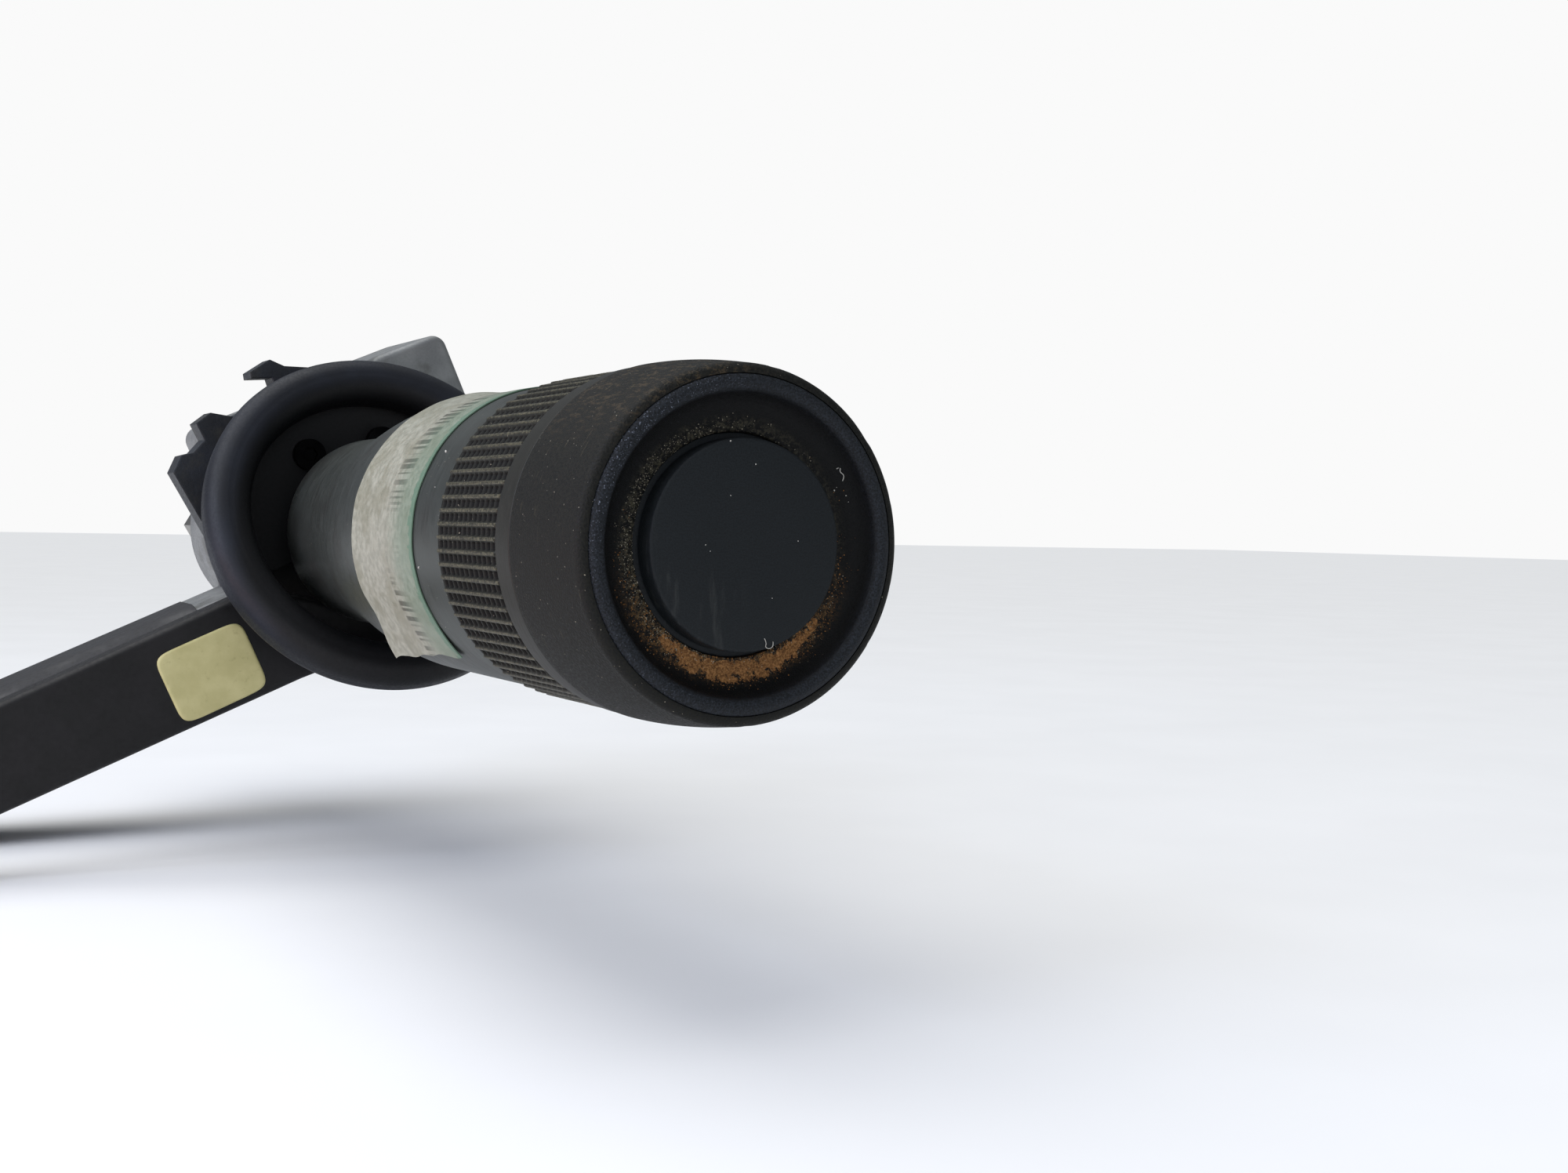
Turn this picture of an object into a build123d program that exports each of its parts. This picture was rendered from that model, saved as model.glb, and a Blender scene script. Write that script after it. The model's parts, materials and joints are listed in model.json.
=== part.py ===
from build123d import *
import os
from math import cos, pi, radians, sin

# Straight dry-break fuel nozzle with a side grip and squeeze lever. Millimetres.
# +Y runs from the outlet face, where the origin is, back to the hose. +Z is up.
# The grip, lever and valve lie in a plane rolled about Y, so they are drawn with the
# grip along -X ("grip frame") and rolled into place last.

# stations along Y
rim_y = 1.4
sleeve_back_y = 18.55
lip_front_y = 18.7
lip_back_y = 23.7
collar_front_y = 23.85
collar_back_y = 46.0
barrel_step_y = 46.15
set_screw_y = 51.0
label_front_y = 56.4
label_back_y = 82.4
taper_front_y = 88.0
taper_back_y = 132.0
barrel_back_y = 145.5
guard_y = 142.5
lever_front_y = 148.0
lug_front_y = 160.0
body_front_y = 166.0
body_back_y = 214.0
spigot_back_y = 234.0
inlet_back_y = 248.0

# nose
nose_front_r = 22.0
nose_back_r = 23.2
nose_belly_r = 22.85
nose_wall_r = 20.15
face_ring_r = 20.65
face_ring_front_y = 0.5
face_ring_back_y = 7.0
outlet_r = 13.7
floor_r = 15.8
floor_y = 3.2
crest_inner_r = 18.5
crest_top_r = 19.6
chamber_r = 16.5
chamber_back_y = 28.0
nose_thread_r = 17.4
nose_thread_back_y = 38.5
nose_bore_r = 14.5

# poppet
poppet_face_r = 12.9
poppet_land_r = 13.62
poppet_land_y = 3.6
poppet_back_y = 6.8
seal_groove_r = 11.9
seal_groove_ys = (4.3, 6.1)
poppet_stem_r = 3.0
poppet_stem_back_y = 40.0
stop_ring_y = 33.8
guide_front_y = 25.5
guide_hub_back_y = 33.0

# barrel and twist collar
spigot_r = 19.4
barrel_r = 22.25
barrel_waist_r = 17.6
barrel_neck_r = 9.0
barrel_neck_back_y = 176.0
neck_seal_y = 170.8
set_screw_angles = (45, 135)
barrel_bore_r = 11.0
neck_bore_r = 6.5
collar_r = 22.95
collar_bore_r = 19.45
collar_ring_y = 41.2
nose_seal_y = 36.1
ridge_count = 78
ridge_depth = 0.7
label_thickness = 0.25
label_gap_angle = 34.0
label_gap_middle = 236.0
run_gap = 0.05

# guard
guard_outer_r = 33.3
guard_inner_r = 25.0
guard_depth = 9.0
guard_tilt = -23.0
guard_raise = 1.9
bowl_back_r = 27.5
bowl_wall = 3.0
cowl_screw_r = 18.0
cowl_screw_angles = (-28, -78, -126)
relief_x = 15.0
relief_z = 29.2
relief_back_y = 190.0

# grip frame: lever, valve and grip
grip_roll = -24.0
lever_z = -10.7
lever_width = 19.4
lever_thickness = 7.0
lever_edge = 1.4
root_z = -16.0
root_width = 12.0
root_slot_z = -4.8
arm_slot_x = -13.0
arm_x = -24.0
lever_tip_x = -112.0
lever_angle = 11.0
pivot_x = 14.0
pivot_y = lever_front_y + lever_thickness / 2
pivot_r = 2.5
ear_thickness = 4.0
ear_gap = 0.3
body_r = 21.0
flange_r = 24.0
head_low = (-18.0, -4.0)
head_high = (32.8, 29.0)
head_back_y = 188.0
corner_low = (16.0, 5.0)
corner_high = (32.8, 30.2)
corner_front_y = 161.5
corner_r = 2.8
valve_z = -17.5
valve_boss_r = 11.5
valve_bore_r = 5.5
valve_chamber_r = 7.5
seat_front_y = 180.0
seat_back_y = 184.0
stem_r = 2.5
plug_front_y = 203.0
plug_seal_y = 205.9
grip_front_y = 182.0
grip_back_y = 208.0
grip_split_y = 195.0
grip_width = 22.0
grip_z = -15.2
grip_root_x = -30.0
grip_tip_x = -92.0
grip_screw_xs = (-44.0, -80.0)
cap_tip_x = -95.0
core_width = 12.0
core_front_y = 188.0
core_back_y = 202.0
catch_front_y = 190.0
catch_back_y = 193.0
catch_tip_x = -100.0
latch_x = -107.0
latch_pin_r = 1.5
latch_thickness = 3.4
latch_swing = 20.0
tag_size = (17.0, 13.8)
tag_x = -38.5
tag_z = -12.0
tag_thickness = 0.4

# inlet swivel
inlet_spigot_r = 11.5
inlet_bore_r = 7.5
swivel_r = 15.0
swivel_front_y = 216.5
thread_r = 9.3
thread_front_y = 236.0
hex_flats = 27.0
swivel_seal_y = 224.1
swivel_ring_y = 230.7


def rod(radius, start_y, end_y, x=0.0, z=0.0):
    """Cylinder along Y."""
    middle = Pos(x, (start_y + end_y) / 2, z)
    return middle * Rot(90, 0, 0) * Cylinder(radius, end_y - start_y)


def tube(outer, inner, start_y, end_y, x=0.0, z=0.0):
    return rod(outer, start_y, end_y, x, z) - rod(inner, start_y - 1, end_y + 1, x, z)


def post(radius, low_z, high_z, x, y):
    """Cylinder along Z."""
    return Pos(x, y, (low_z + high_z) / 2) * Cylinder(radius, high_z - low_z)


def block(low, high):
    """Box between two corners."""
    middle = [(a + b) / 2 for a, b in zip(low, high)]
    return Pos(*middle) * Box(*[b - a for a, b in zip(low, high)])


def turned(points):
    """Solid of revolution about Y from (radius, y) points."""
    return revolve(make_face(Polyline(*points, close=True)), Axis.Y)


def hexagon(flats, start_y, end_y, x=0.0, z=0.0):
    outline = RegularPolygon(flats / 2, 6, major_radius=False)
    middle = Pos(x, start_y, z) * Rot(-90, 0, 0)
    return middle * extrude(outline, end_y - start_y)


def o_ring(centre_r, wire_r, y, x=0.0, z=0.0):
    return Pos(x, y, z) * Rot(90, 0, 0) * Torus(centre_r, wire_r)


def groove(shaft_r, depth, y, width, z=0.0):
    """Ring to cut from a shaft so that a seal or a snap ring sits in it."""
    return tube(shaft_r + 1, shaft_r - depth, y - width / 2, y + width / 2, z=z)


def snap_ring(outer, inner, y, width):
    """Flat ring with the gap that lets it spring open."""
    gap = block((-1.4, y - width, 0), (1.4, y + width, outer + 1))
    return tube(outer, inner, y - width / 2, y + width / 2) - gap


def coil(centre_r, wire_r, start_y, end_y, turns, x=0.0, z=0.0):
    """Compression spring along Y whose wire just fits between two stations."""
    height = end_y - start_y - 2 * wire_r
    path = Helix(height / turns, height, centre_r)
    section = Plane(path @ 0, z_dir=path % 0) * Circle(wire_r)
    spring = sweep(section, path, is_frenet=True)
    return Pos(x, start_y + wire_r, z) * Rot(-90, 0, 0) * spring


def polar(radius, angle):
    return (radius * cos(radians(angle)), radius * sin(radians(angle)))


def rolled(shape):
    """From the grip frame into the nozzle's frame."""
    return Rot(0, grip_roll, 0) * shape


def swung(shape, x, y, angle):
    """Turned in the squeezing sense about an upright pin in the grip frame."""
    return Pos(x, y, 0) * Rot(0, 0, -angle) * Pos(-x, -y, 0) * shape


def nose_sleeve():
    lip_start = (face_ring_r, face_ring_front_y - 0.1)
    lip_end = (nose_front_r, rim_y + 0.4)
    profile = Polyline(
        (nose_back_r - 0.3, sleeve_back_y), (nose_wall_r, sleeve_back_y),
        (nose_wall_r, face_ring_back_y), (face_ring_r, face_ring_back_y), lip_start)
    lip = ThreePointArc(lip_start, (nose_front_r - 0.4, rim_y - 0.65), lip_end)
    belly = ThreePointArc(lip_end, (nose_belly_r, 9.5), (nose_back_r, sleeve_back_y - 0.3))
    corner = Line((nose_back_r, sleeve_back_y - 0.3), (nose_back_r - 0.3, sleeve_back_y))
    return revolve(make_face([profile, lip, belly, corner]), Axis.Y)


def face_ring():
    """Moulded ring whose rolled crest and dished floor surround the outlet."""
    back = Polyline(
        (face_ring_r, face_ring_front_y), (face_ring_r, face_ring_back_y),
        (outlet_r, face_ring_back_y), (outlet_r, floor_y), (floor_r, floor_y))
    wall = ThreePointArc((floor_r, floor_y), (17.6, 2.35), (crest_inner_r, 0.55))
    crest = ThreePointArc((crest_inner_r, 0.55), (crest_top_r, 0.0), (face_ring_r, face_ring_front_y))
    return revolve(make_face([back, wall, crest]), Axis.Y)


def nose_body():
    body = turned([
        (nose_wall_r - 0.05, face_ring_back_y), (nose_wall_r - 0.05, lip_back_y),
        (nose_thread_r, lip_back_y), (nose_thread_r, nose_thread_back_y),
        (nose_bore_r, nose_thread_back_y), (nose_bore_r, chamber_back_y),
        (chamber_r, chamber_back_y), (chamber_r, face_ring_back_y)])
    return body - groove(nose_thread_r, 1.2, nose_seal_y, 1.6)


def nose_o_ring():
    return o_ring(nose_thread_r - 0.6, 0.6, nose_seal_y)


def poppet_guide():
    plate = rod(chamber_r - run_gap, guide_front_y, chamber_back_y)
    hub = rod(5.5, guide_front_y, guide_hub_back_y)
    port = rod(3.4, guide_front_y - 1, guide_hub_back_y, x=10.6)
    ports = [Rot(0, step * 60, 0) * port for step in range(6)]
    return plate + hub - rod(poppet_stem_r + run_gap, guide_front_y - 1, guide_hub_back_y + 1) - ports


def poppet():
    edge = 0.3
    seal_front, seal_back = seal_groove_ys
    head = turned([
        (0, 0), (poppet_face_r - edge, 0), (poppet_face_r, edge), (poppet_face_r, poppet_land_y),
        (poppet_land_r, poppet_land_y), (poppet_land_r, seal_front), (seal_groove_r, seal_front),
        (seal_groove_r, seal_back), (poppet_land_r, seal_back), (poppet_land_r, poppet_back_y),
        (0, poppet_back_y)])
    stem = rod(poppet_stem_r, poppet_back_y, poppet_stem_back_y)
    return head + stem - groove(poppet_stem_r, 0.6, stop_ring_y, 1.2)


def poppet_o_ring():
    return o_ring(seal_groove_r + 0.9, 0.85, sum(seal_groove_ys) / 2)


def poppet_stop_ring():
    return snap_ring(5.0, poppet_stem_r - 0.55, stop_ring_y, 1.1)


def poppet_spring():
    return coil(8.0, 0.65, poppet_back_y, guide_front_y, 5)


def lip_ring():
    edge = 0.35
    outer = nose_back_r - 0.15
    return turned([
        (nose_wall_r, lip_front_y), (outer - edge, lip_front_y), (outer, lip_front_y + edge),
        (outer, lip_back_y - edge), (outer - edge, lip_back_y), (nose_wall_r, lip_back_y)])


def knurled_collar():
    ring = tube(collar_r, collar_bore_r, collar_front_y, collar_back_y)
    ring -= tube(collar_bore_r + 0.5, collar_bore_r - 1, collar_ring_y - 0.8, collar_ring_y + 0.8)
    half = pi * collar_r / ridge_count / 2
    deep = collar_r - ridge_depth
    cutter = block((deep, collar_front_y + 0.6, -half), (deep + 2, collar_back_y - 0.6, half))
    grooves = [Rot(0, step * 360 / ridge_count, 0) * cutter for step in range(ridge_count)]
    return ring - grooves


def collar_retaining_ring():
    return snap_ring(19.75, 18.65, collar_ring_y, 1.2)


def barrel():
    shell = turned([
        (17.5, collar_front_y), (spigot_r, collar_front_y), (spigot_r, barrel_step_y),
        (barrel_r - 0.3, barrel_step_y), (barrel_r, barrel_step_y + 0.3), (barrel_r, taper_front_y),
        (barrel_waist_r, taper_back_y), (barrel_waist_r, barrel_back_y - 1),
        (barrel_waist_r - 1, barrel_back_y), (barrel_neck_r, barrel_back_y),
        (barrel_neck_r, barrel_neck_back_y), (neck_bore_r, barrel_neck_back_y),
        (neck_bore_r, 142), (barrel_bore_r, 138), (barrel_bore_r, 66), (nose_bore_r, 62),
        (nose_bore_r, 39), (17.5, 39)])
    shell -= groove(spigot_r, 0.8, collar_ring_y, 1.4)
    shell -= groove(barrel_neck_r, 1.1, neck_seal_y, 1.6)
    hole = Pos(0, set_screw_y, 20.5) * Cylinder(1.55, 4.2)
    return shell - [Rot(0, angle, 0) * hole for angle in set_screw_angles]


def barrel_set_screws():
    screw = Pos(0, set_screw_y, 20.3) * Cylinder(1.5, 3.6)
    socket = Pos(0, set_screw_y, 21.6) * extrude(RegularPolygon(0.8, 6), 2)
    return Compound([Rot(0, angle, 0) * (screw - socket) for angle in set_screw_angles])


def wrap_label():
    band = tube(barrel_r + label_thickness, barrel_r, label_front_y, label_back_y)
    start, end = label_gap_middle - label_gap_angle / 2, label_gap_middle + label_gap_angle / 2
    wedge = Polyline((0, 0), polar(40, start), polar(40, end), close=True)
    gap = extrude(Plane.XZ * make_face(wedge), -(label_back_y + 1))
    return band - gap


def guard_plane(behind):
    """Plane of the tilted guard ring, moved back along the ring's own axis."""
    along = Vector(0, cos(radians(guard_tilt)), sin(radians(guard_tilt)))
    return Plane(Vector(0, guard_y, guard_raise) + along * behind, x_dir=(1, 0, 0), z_dir=along)


def lever_slot(start_y, end_y, end_x):
    """Room for the lever to swing, a step higher where its arm widens."""
    arm_slot_z = lever_z + lever_width / 2 + 0.6
    slot = block((-60, start_y, -50), (end_x, end_y, root_slot_z))
    return rolled(slot + block((-60, start_y, -50), (arm_slot_x, end_y, arm_slot_z)))


def cowl_screw_holes():
    hole = rod(1.6, 150, body_front_y + 6, x=cowl_screw_r)
    return [Rot(0, angle, 0) * hole for angle in cowl_screw_angles]


def guard_cowl():
    """Tilted rounded ring with a bowl behind it, open along the lever."""
    tilt = Pos(0, guard_y, guard_raise) * Rot(guard_tilt, 0, 0)
    middle_r = (guard_outer_r + guard_inner_r) / 2
    section = Pos(middle_r, 0) * RectangleRounded(guard_outer_r - guard_inner_r, guard_depth, 3.6)
    rim = tilt * revolve(section, Axis.Y)
    front = guard_plane(1.5)
    back = Plane((0, lug_front_y, 0), x_dir=(1, 0, 0), z_dir=(0, 1, 0))
    outside = loft([front * Circle(guard_outer_r - 1.6), back * Circle(bowl_back_r)])
    inside = loft([front * Circle(guard_inner_r + 1.6), back * Circle(bowl_back_r - bowl_wall)])
    plate = tube(bowl_back_r - 0.5, 11.0, lug_front_y - 3, lug_front_y)
    slot = lever_slot(guard_y + 2, lug_front_y + 1, 27)
    return rim + (outside - inside + plate - slot) - cowl_screw_holes()


def cowl_screws():
    shank = rod(1.6, lug_front_y - 3, body_front_y + 6, x=cowl_screw_r)
    head = rod(3.0, lug_front_y - 5, lug_front_y - 3, x=cowl_screw_r)
    socket = hexagon(2.5, lug_front_y - 6, lug_front_y - 4, x=cowl_screw_r)
    return Compound([Rot(0, angle, 0) * (shank + head - socket) for angle in cowl_screw_angles])


def lug_plate():
    """Plate with three hooked teeth at one corner of the squared head, drawn in the grip frame."""
    edge = [(-26.4, -4.8), (-26.0, 5.0), (-27.9, 23.7)]
    first_tooth = [(-25.3, 26.1), (-23.0, 25.8), (-20.1, 27.2)]
    second_tooth = [(-20.3, 30.7), (-17.0, 31.6), (-13.4, 29.4), (-9.0, 29.6)]
    third_tooth = [(-3.7, 31.2), (-3.5, 33.6), (-7.3, 34.9), (-7.0, 36.1), (-2.5, 37.0), (-0.4, 34.9)]
    corner_x, corner_z = corner_low[0] - 0.3, corner_low[1] - 0.3
    top = [(6.5, 31.9), (corner_x, 29.4), (corner_x, -4.8)]
    depth = body_front_y - lug_front_y
    comb = Polyline(*edge, *first_tooth, *second_tooth, *third_tooth, *top, close=True)
    disc = extrude(Plane.XZ * Circle(bowl_back_r), -depth)
    plate = Pos(0, lug_front_y, 0) * (rolled(extrude(Plane.XZ * make_face(comb), -depth)) + disc)
    corner = rolled(block((corner_x, lug_front_y - 1, corner_z), (60, body_front_y + 1, 60)))
    neck = rod(11.0, lug_front_y - 1, body_front_y + 1)
    slot = lever_slot(lug_front_y - 1, body_front_y + 1, 60)
    return plate - corner - slot - neck - cowl_screw_holes()


def squared(low, high, start_y, end_y):
    """Rounded bar along Y between two (x, z) corners, its front edges softened."""
    width, height = high[0] - low[0], high[1] - low[1]
    middle = Pos((low[0] + high[0]) / 2, (low[1] + high[1]) / 2)
    face = middle * RectangleRounded(width, height, corner_r)
    bar = Pos(0, start_y, 0) * extrude(Plane.XZ * face, start_y - end_y)
    return fillet(bar.faces().sort_by(Axis.Y)[0].edges(), 1.2)


def body_shell():
    """Outside of the cast valve body, in the grip frame."""
    shell = rod(flange_r, body_front_y, body_front_y + 7)
    shell += rod(body_r, body_front_y, body_back_y)
    shell += squared(head_low, head_high, body_front_y, head_back_y)
    shell += squared(corner_low, corner_high, corner_front_y, relief_back_y)
    shell += rod(valve_boss_r, body_front_y, body_back_y, z=valve_z)
    shell += rod(inlet_spigot_r, body_back_y, spigot_back_y)
    shell += block((grip_root_x, grip_front_y + 1, grip_z - 10), (0, grip_back_y - 1, grip_z + 10))
    shell += block((grip_tip_x + 4, core_front_y, grip_z - core_width / 2),
                   (0, core_back_y, grip_z + core_width / 2))
    return shell


def pivot_ears():
    top = root_z + root_width / 2 + ear_gap
    bottom = root_z - root_width / 2 - ear_gap
    ears = None
    for low in (top, bottom - ear_thickness):
        ear = block((pivot_x - 7, pivot_y, low), (pivot_x + 7, body_front_y, low + ear_thickness))
        ear += post(6.0, low, low + ear_thickness, pivot_x, pivot_y)
        ears = ear if ears is None else ears + ear
    return ears - rod(barrel_neck_r + 0.3, 140, body_front_y)


def body_passages():
    """Fuel way: barrel neck, front well, valve bore, rear well, inlet."""
    cuts = rod(barrel_neck_r, body_front_y - 1, barrel_neck_back_y)
    cuts += rod(8.0, barrel_neck_back_y - 0.5, 183.0)
    cuts += block((-3.5, 177.2, valve_z), (3.5, 179.8, 0))
    cuts += rod(valve_bore_r, body_front_y - 1, seat_front_y + 0.5, z=valve_z)
    cuts += rod(valve_chamber_r, seat_front_y, body_back_y + 1, z=valve_z)
    cuts += block((-3.5, 189.0, valve_z), (3.5, 197.0, 0))
    cuts += rod(9.0, 188.0, 208.0)
    cuts += rod(inlet_bore_r, 207.0, spigot_back_y + 1)
    return cuts


def rear_body():
    shape = rolled(body_shell() + pivot_ears())
    shape -= rolled(body_passages())
    shape -= rolled(post(pivot_r, -40, 0, pivot_x, pivot_y))
    shape -= groove(inlet_spigot_r, 1.5, swivel_seal_y, 2.2)
    shape -= groove(inlet_spigot_r, 0.9, swivel_ring_y, 1.4)
    shape -= [rolled(rod(1.6, 180, 210, x, grip_z)) for x in grip_screw_xs]
    shape -= rod(5.0, 176.0, relief_back_y + 1, relief_x, relief_z)
    shape -= rod(2.4, 170.0, 177.0, relief_x, relief_z)
    return shape - cowl_screw_holes()


def body_o_ring():
    return o_ring(barrel_neck_r - 0.55, 0.5, neck_seal_y)


def relief_ball():
    return Pos(relief_x, 179.2, relief_z) * Sphere(3.2)


def relief_spring():
    return coil(2.9, 0.45, 182.6, 187.5, 4, relief_x, relief_z)


def relief_cap():
    cap = rod(5.0, 187.5, relief_back_y, relief_x, relief_z)
    cap += hexagon(13, relief_back_y, relief_back_y + 5, relief_x, relief_z)
    return cap - rod(1.2, 187, relief_back_y + 6, relief_x, relief_z)


def gland_nut():
    nut = rod(valve_bore_r, body_front_y, 173.5, z=valve_z)
    nut += hexagon(13, 162.5, body_front_y, z=valve_z)
    return rolled(nut - rod(stem_r + run_gap, 160, 175, z=valve_z))


def stem_packing():
    return rolled(tube(valve_bore_r, stem_r + run_gap, 173.6, 176.8, z=valve_z))


def valve_seat():
    return rolled(tube(valve_chamber_r, 4.6, seat_front_y + 0.5, seat_back_y, z=valve_z))


def valve_stem():
    """Stem with a domed push end that stops just short of the lever."""
    tip_y = lever_front_y + lever_thickness + run_gap
    stem = Pos(0, tip_y + 3.0, valve_z) * Sphere(3.0)
    stem += rod(stem_r, tip_y + 3.0, 192.0, z=valve_z)
    return rolled(stem)


def valve_disc():
    disc = rod(6.8, 186.2, 189.2, z=valve_z)
    disc += rod(4.0, 189.2, 191.0, z=valve_z)
    return rolled(disc - rod(stem_r, 186, 192, z=valve_z))


def valve_disc_seal():
    return rolled(tube(6.8, stem_r, seat_back_y + 0.05, 186.2, z=valve_z))


def valve_spring():
    return rolled(coil(5.3, 0.6, 189.2, plug_front_y, 6, z=valve_z))


def valve_plug():
    plug = rod(valve_chamber_r, plug_front_y, body_back_y - 0.5, z=valve_z)
    plug -= groove(valve_chamber_r, 1.3, plug_seal_y, 1.8, valve_z)
    return rolled(plug - hexagon(6, 208.5, body_back_y, z=valve_z))


def plug_o_ring():
    return rolled(o_ring(valve_chamber_r - 0.65, 0.63, plug_seal_y, z=valve_z))


def lever_outline():
    """Narrow at the pivot, then a wide arm set higher, with a tapered tip."""
    low, high = lever_z - lever_width / 2, lever_z + lever_width / 2
    root_low, root_high = root_z - root_width / 2, root_z + root_width / 2
    return Polyline(
        (pivot_x, root_high), (arm_x / 2, root_high), (arm_x, high), (lever_tip_x + 8, high - 1),
        (lever_tip_x, high - 6), (lever_tip_x, low + 6), (lever_tip_x + 8, low + 1),
        (arm_x, low), (1, root_low), (pivot_x, root_low), close=True)


def lever():
    bar = Pos(0, lever_front_y, 0) * extrude(Plane.XZ * make_face(lever_outline()), -lever_thickness)
    edges = [e for e in bar.edges() if abs((e % 0.5).Y) < 0.5 and e.center().X < pivot_x - 1]
    bar = fillet(edges, lever_edge)
    bar += post(6.0, root_z - root_width / 2, root_z + root_width / 2, pivot_x, pivot_y)
    bar -= post(pivot_r + run_gap, -40, 0, pivot_x, pivot_y)
    half = latch_thickness / 2 + 0.3
    bar -= block((lever_tip_x - 1, lever_front_y - 1, lever_z - half), (-100.5, 160, lever_z + half))
    bar -= post(latch_pin_r, lever_z - 6.5, lever_z + 6.5, latch_x, pivot_y)
    return rolled(bar)


def lever_tag():
    length, width = tag_size
    face = Pos(tag_x, tag_z) * RectangleRounded(length, width, 2.5)
    return rolled(Pos(0, lever_front_y, 0) * extrude(Plane.XZ * face, tag_thickness))


def lever_pin():
    return rolled(post(pivot_r, -27.6, -4.4, pivot_x, pivot_y))


def lever_pin_clips():
    clips = []
    for low in (-27.2, -5.6):
        clip = post(4.2, low, low + 0.8, pivot_x, pivot_y) - post(pivot_r, -40, 0, pivot_x, pivot_y)
        mouth = block((pivot_x, pivot_y - 1.2, -40), (pivot_x + 6, pivot_y + 1.2, 0))
        clips.append(rolled(clip - mouth))
    return Compound(clips)


def latch_pin():
    return rolled(post(latch_pin_r, lever_z - 6.5, lever_z + 6.5, latch_x, pivot_y))


def latch():
    """Drawn hooked behind the catch with the lever squeezed, then turned back to rest."""
    reach = pivot_x - latch_x
    held_x = pivot_x - reach * cos(radians(lever_angle))
    held_y = pivot_y + reach * sin(radians(lever_angle))
    half = latch_thickness / 2
    low, high = lever_z - half, lever_z + half
    plate = post(3.6, low, high, held_x, held_y)
    plate += block((held_x - 3.4, held_y, low), (held_x + 1.2, catch_back_y + 4.4, high))
    plate += block((held_x, catch_back_y + 0.6, low), (catch_tip_x + 2.6, catch_back_y + 4.4, high))
    plate -= post(latch_pin_r + run_gap, -40, 0, held_x, held_y)
    open_plate = swung(plate, held_x, held_y, -latch_swing)
    return rolled(swung(open_plate, pivot_x, pivot_y, -lever_angle))


def grip_shells():
    """Outside of the moulded grip, one rounded bar before it is split."""
    middle_y = (grip_front_y + grip_back_y) / 2
    section = RectangleRounded(grip_back_y - grip_front_y, grip_width, 8)
    bar = extrude(Plane((grip_root_x, middle_y, grip_z), x_dir=(0, 1, 0), z_dir=(-1, 0, 0)) * section,
                  grip_root_x - grip_tip_x)
    core = block((grip_tip_x + 4, core_front_y, grip_z - core_width / 2),
                 (0, core_back_y, grip_z + core_width / 2))
    return bar - core


def finger_grooves():
    return [post(9.0, grip_z - 20, grip_z + 20, x, grip_back_y + 7.6) for x in (-42, -58, -74)]


def grip_front_shell():
    half = grip_shells() & block((grip_tip_x, grip_front_y, -40), (grip_root_x, grip_split_y, 0))
    return rolled(half - [rod(1.6, 184, 200, x, grip_z) for x in grip_screw_xs])


def grip_rear_shell():
    half = grip_shells() & block((grip_tip_x, grip_split_y, -40), (grip_root_x, grip_back_y, 0))
    half -= finger_grooves()
    holes = [rod(1.6, 190, 210, x, grip_z) + rod(3.2, 204.5, 210, x, grip_z) for x in grip_screw_xs]
    return rolled(half - holes)


def grip_screws():
    parts = []
    for x in grip_screw_xs:
        screw = rod(1.6, 184, 204.5, x, grip_z) + rod(3.0, 204.5, 206.3, x, grip_z)
        parts.append(rolled(screw - hexagon(2.5, 205.3, 207, x, grip_z)))
    return Compound(parts)


def grip_end_cap():
    middle_y = (grip_front_y + grip_back_y) / 2
    section = RectangleRounded(grip_back_y - grip_front_y - 1, grip_width - 1, 7.5)
    cap = extrude(Plane((grip_tip_x, middle_y, grip_z), x_dir=(0, 1, 0), z_dir=(-1, 0, 0)) * section,
                  grip_tip_x - cap_tip_x)
    cap += block((catch_tip_x, catch_front_y, lever_z - 4), (cap_tip_x, catch_back_y, lever_z + 4))
    return rolled(cap)


def inlet_swivel():
    body = rod(swivel_r, swivel_front_y, thread_front_y + 0.5)
    body += hexagon(hex_flats, thread_front_y, inlet_back_y)
    body -= rod(inlet_spigot_r + run_gap, swivel_front_y - 1, spigot_back_y + 0.5)
    body -= rod(inlet_bore_r, spigot_back_y, thread_front_y + 0.5)
    body -= rod(12.3, swivel_ring_y - 0.9, swivel_ring_y + 0.9)
    return body - rod(thread_r, thread_front_y, inlet_back_y + 1)


def swivel_snap_ring():
    return snap_ring(12.15, 10.65, swivel_ring_y, 1.2)


def swivel_o_ring():
    return o_ring(10.75, 0.72, swivel_seal_y)


def strainer():
    cup = tube(5.5, 5.0, 214, 232.0) + rod(5.5, 213.4, 214.0)
    cup += tube(inlet_bore_r, 5.0, 232.0, 233.0)
    pair = block((3, 216, -1.6), (7, 220.5, 1.6)) + block((3, 222, -1.6), (7, 226.5, 1.6))
    return cup - [Rot(0, step * 60, 0) * pair for step in range(6)]


makers = [
    nose_sleeve, face_ring, nose_body, nose_o_ring, poppet_guide, poppet, poppet_o_ring,
    poppet_stop_ring, poppet_spring, lip_ring, knurled_collar, collar_retaining_ring, barrel,
    barrel_set_screws, wrap_label, guard_cowl, cowl_screws, lug_plate, rear_body, body_o_ring,
    relief_ball, relief_spring, relief_cap, gland_nut, stem_packing, valve_seat, valve_stem,
    valve_disc, valve_disc_seal, valve_spring, valve_plug, plug_o_ring, lever, lever_tag,
    lever_pin, lever_pin_clips, latch, latch_pin, grip_front_shell, grip_rear_shell, grip_screws,
    grip_end_cap, inlet_swivel, swivel_snap_ring, swivel_o_ring, strainer]

os.makedirs("parts", exist_ok=True)
for maker in makers:
    export_step(maker(), "parts/" + maker.__name__ + ".step")
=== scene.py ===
import json
import math
import random

import bmesh
import bpy
from mathutils import Matrix, Vector, noise


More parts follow.
